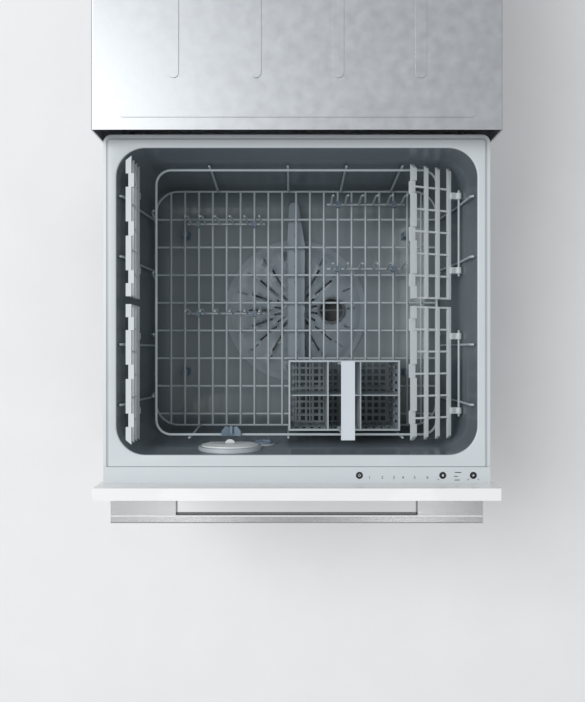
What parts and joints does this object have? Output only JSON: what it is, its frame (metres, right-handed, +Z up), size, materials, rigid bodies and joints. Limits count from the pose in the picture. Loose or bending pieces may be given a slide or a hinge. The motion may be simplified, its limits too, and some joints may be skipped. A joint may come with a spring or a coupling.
{
  "type": "dishwasher drawer",
  "caption": "Built-in dishwasher drawer: a tub with wire basket, folding cup racks, cutlery basket and wash system runs out of its chassis on slides behind a white front with a bar handle.",
  "frame": {"origin": "centre of the chassis base's underside", "axes": "+Z up, +X to the right seen from the front; the front faces -Y, and the drawer is stored pulled out 520 mm towards -Y"},
  "size_m": [0.599, 1.1635, 0.454],
  "materials": {
    "galvanised_sheet": "galvanised",
    "zinc_screw": "zinc plated",
    "slide_steel": "rolled and zinc plated",
    "lid_plastic": "fine texture",
    "seal_rubber": "matt",
    "bush_plastic": "satin",
    "dark_plastic": "fine texture",
    "white_plastic": "satin",
    "tub_plastic": "moulded, satin",
    "strip_plastic": "satin",
    "button_black": "satin",
    "panel_white": "satin white paint",
    "brushed_steel": "brushed along its length",
    "dark_screw": "black oxide",
    "sump_plastic": "moulded",
    "motor_paint": "satin",
    "stainless": "satin",
    "filter_grey": "moulded, satin",
    "dispenser_grey": "moulded, satin",
    "door_pale": "satin",
    "clip_blue": "satin",
    "wire_coating": "coated wire",
    "rack_plastic": "satin",
    "cutlery_plastic": "satin",
    "strap_plastic": "fine texture"
  },
  "bodies": {
    "chassis": {"chassis_wrap": "galvanised_sheet", "chassis_base": "galvanised_sheet", "chassis_back": "galvanised_sheet", "chassis_screws": "zinc_screw", "slide_fixed_left": "slide_steel", "slide_fixed_right": "slide_steel", "lid_bushes": "bush_plastic", "lid_drive_left": "dark_plastic", "lid_drive_right": "dark_plastic", "inlet_valve": "white_plastic", "drain_outlet": "dark_plastic", "cable_inlet": "dark_plastic"},
    "slide_left": {"slide_middle_left": "slide_steel"},
    "slide_right": {"slide_middle_right": "slide_steel"},
    "drawer": {"tub": "tub_plastic", "control_fascia": "strip_plastic", "controller_box": "dark_plastic", "front_panel": "panel_white", "panel_carrier": "galvanised_sheet", "panel_screws": "zinc_screw", "handle": "brushed_steel", "handle_screws": "dark_screw", "slide_drawer_left": "slide_steel", "slide_drawer_right": "slide_steel", "sump_housing": "sump_plastic", "wash_motor": "motor_paint", "heater_plate": "stainless", "filter_plate": "filter_grey", "dispenser_body": "dispenser_grey"},
    "lid": {"lid_panel": "lid_plastic", "lid_seal": "seal_rubber"},
    "power_key": {"power_button": "button_black"},
    "programme_key": {"programme_button": "button_black"},
    "start_key": {"start_button": "button_black"},
    "rotor": {"wash_rotor": "white_plastic"},
    "arm": {"spray_arm": "filter_grey"},
    "filter": {"drain_filter": "sump_plastic"},
    "door": {"dispenser_door": "door_pale"},
    "cap": {"rinse_aid_cap": "clip_blue"},
    "basket": {"basket_floor": "wire_coating", "basket_feet": "clip_blue", "basket_hoop": "wire_coating", "basket_uprights": "wire_coating", "rack_support_left": "wire_coating", "rack_support_right": "wire_coating", "hoop_clip": "clip_blue", "tine_clips": "clip_blue"},
    "rack_rl": {"cup_rack_rear_left": "rack_plastic"},
    "rack_fl": {"cup_rack_front_left": "rack_plastic"},
    "rack_rr": {"cup_rack_rear_right": "rack_plastic"},
    "rack_fr": {"cup_rack_front_right": "rack_plastic"},
    "tines_rl": {"tines_rear_left": "wire_coating"},
    "tines_rr": {"tines_rear_right": "wire_coating"},
    "tines_ml": {"tines_mid_left": "wire_coating"},
    "tines_mr": {"tines_mid_right": "wire_coating"},
    "cutlery": {"cutlery_basket": "cutlery_plastic"},
    "cutlery_bow": {"cutlery_handle": "strap_plastic"}
  },
  "joints": [
    {"name": "drawer_slide", "type": "slide", "parent": "chassis", "child": "drawer", "axis": [0, -1, 0], "range_m": [-0.52, 0]},
    {"name": "slide_left_run", "type": "slide", "parent": "chassis", "child": "slide_left", "axis": [0, -1, 0], "range_m": [-0.26, 0]},
    {"name": "slide_right_run", "type": "slide", "parent": "chassis", "child": "slide_right", "axis": [0, -1, 0], "range_m": [-0.26, 0]},
    {"name": "lid_drop", "type": "slide", "parent": "chassis", "child": "lid", "axis": [0, 0, 1], "range_m": [-0.01, 0]},
    {"name": "power_press", "type": "slide", "parent": "drawer", "child": "power_key", "axis": [0, 0, -1], "range_m": [0, 0.001], "stiffness_N_per_m": 400, "springref_m": -0.0003},
    {"name": "programme_press", "type": "slide", "parent": "drawer", "child": "programme_key", "axis": [0, 0, -1], "range_m": [0, 0.001], "stiffness_N_per_m": 400, "springref_m": -0.0003},
    {"name": "start_press", "type": "slide", "parent": "drawer", "child": "start_key", "axis": [0, 0, -1], "range_m": [0, 0.001], "stiffness_N_per_m": 400, "springref_m": -0.0003},
    {"name": "rotor_spin", "type": "hinge", "parent": "drawer", "child": "rotor", "pos_m": [0, -0.523, 0.072], "axis": [0, 0, 1], "continuous": true},
    {"name": "arm_spin", "type": "hinge", "parent": "drawer", "child": "arm", "pos_m": [0, -0.523, 0.136], "axis": [0, 0, 1], "continuous": true},
    {"name": "filter_lift", "type": "slide", "parent": "drawer", "child": "filter", "axis": [0, 0, 1], "range_m": [0, 0.025]},
    {"name": "door_turn", "type": "hinge", "parent": "drawer", "child": "door", "pos_m": [-0.105, -0.753, 0.342], "axis": [0, 1, 0], "range_deg": [0, 150]},
    {"name": "cap_turn", "type": "hinge", "parent": "drawer", "child": "cap", "pos_m": [-0.054, -0.753, 0.305], "axis": [0, 1, 0], "range_deg": [0, 90]},
    {"name": "basket_lift", "type": "slide", "parent": "drawer", "child": "basket", "axis": [0, 0, 1], "range_m": [0, 0.3]},
    {"name": "rack_rl_fold", "type": "hinge", "parent": "basket", "child": "rack_rl", "pos_m": [-0.262, -0.408, 0.314], "axis": [0, 1, 0], "range_deg": [0, 64]},
    {"name": "rack_fl_fold", "type": "hinge", "parent": "basket", "child": "rack_fl", "pos_m": [-0.262, -0.634, 0.314], "axis": [0, 1, 0], "range_deg": [0, 64]},
    {"name": "rack_rr_fold", "type": "hinge", "parent": "basket", "child": "rack_rr", "pos_m": [0.262, -0.408, 0.314], "axis": [0, -1, 0], "range_deg": [-64, 0]},
    {"name": "rack_fr_fold", "type": "hinge", "parent": "basket", "child": "rack_fr", "pos_m": [0.262, -0.634, 0.314], "axis": [0, -1, 0], "range_deg": [-64, 0]},
    {"name": "tines_rl_fold", "type": "hinge", "parent": "basket", "child": "tines_rl", "pos_m": [-0.125, -0.371, 0.166], "axis": [1, 0, 0], "range_deg": [0, 85]},
    {"name": "tines_rr_fold", "type": "hinge", "parent": "basket", "child": "tines_rr", "pos_m": [0.125, -0.336, 0.166], "axis": [1, 0, 0], "range_deg": [0, 85]},
    {"name": "tines_ml_fold", "type": "hinge", "parent": "basket", "child": "tines_ml", "pos_m": [-0.125, -0.531, 0.166], "axis": [1, 0, 0], "range_deg": [0, 85]},
    {"name": "tines_mr_fold", "type": "hinge", "parent": "basket", "child": "tines_mr", "pos_m": [0.125, -0.451, 0.166], "axis": [1, 0, 0], "range_deg": [0, 85]},
    {"name": "cutlery_lift", "type": "slide", "parent": "basket", "child": "cutlery", "axis": [0, 0, 1], "range_m": [0, 0.18]},
    {"name": "cutlery_bow_swing", "type": "hinge", "parent": "cutlery", "child": "cutlery_bow", "pos_m": [0.078, -0.6706, 0.2892], "axis": [0, 1, 0], "range_deg": [-40, 40]}
  ],
  "couplings": [
    {"joint": "slide_left_run", "follows": "drawer_slide", "ratio": 0.5},
    {"joint": "slide_right_run", "follows": "drawer_slide", "ratio": 0.5}
  ]
}
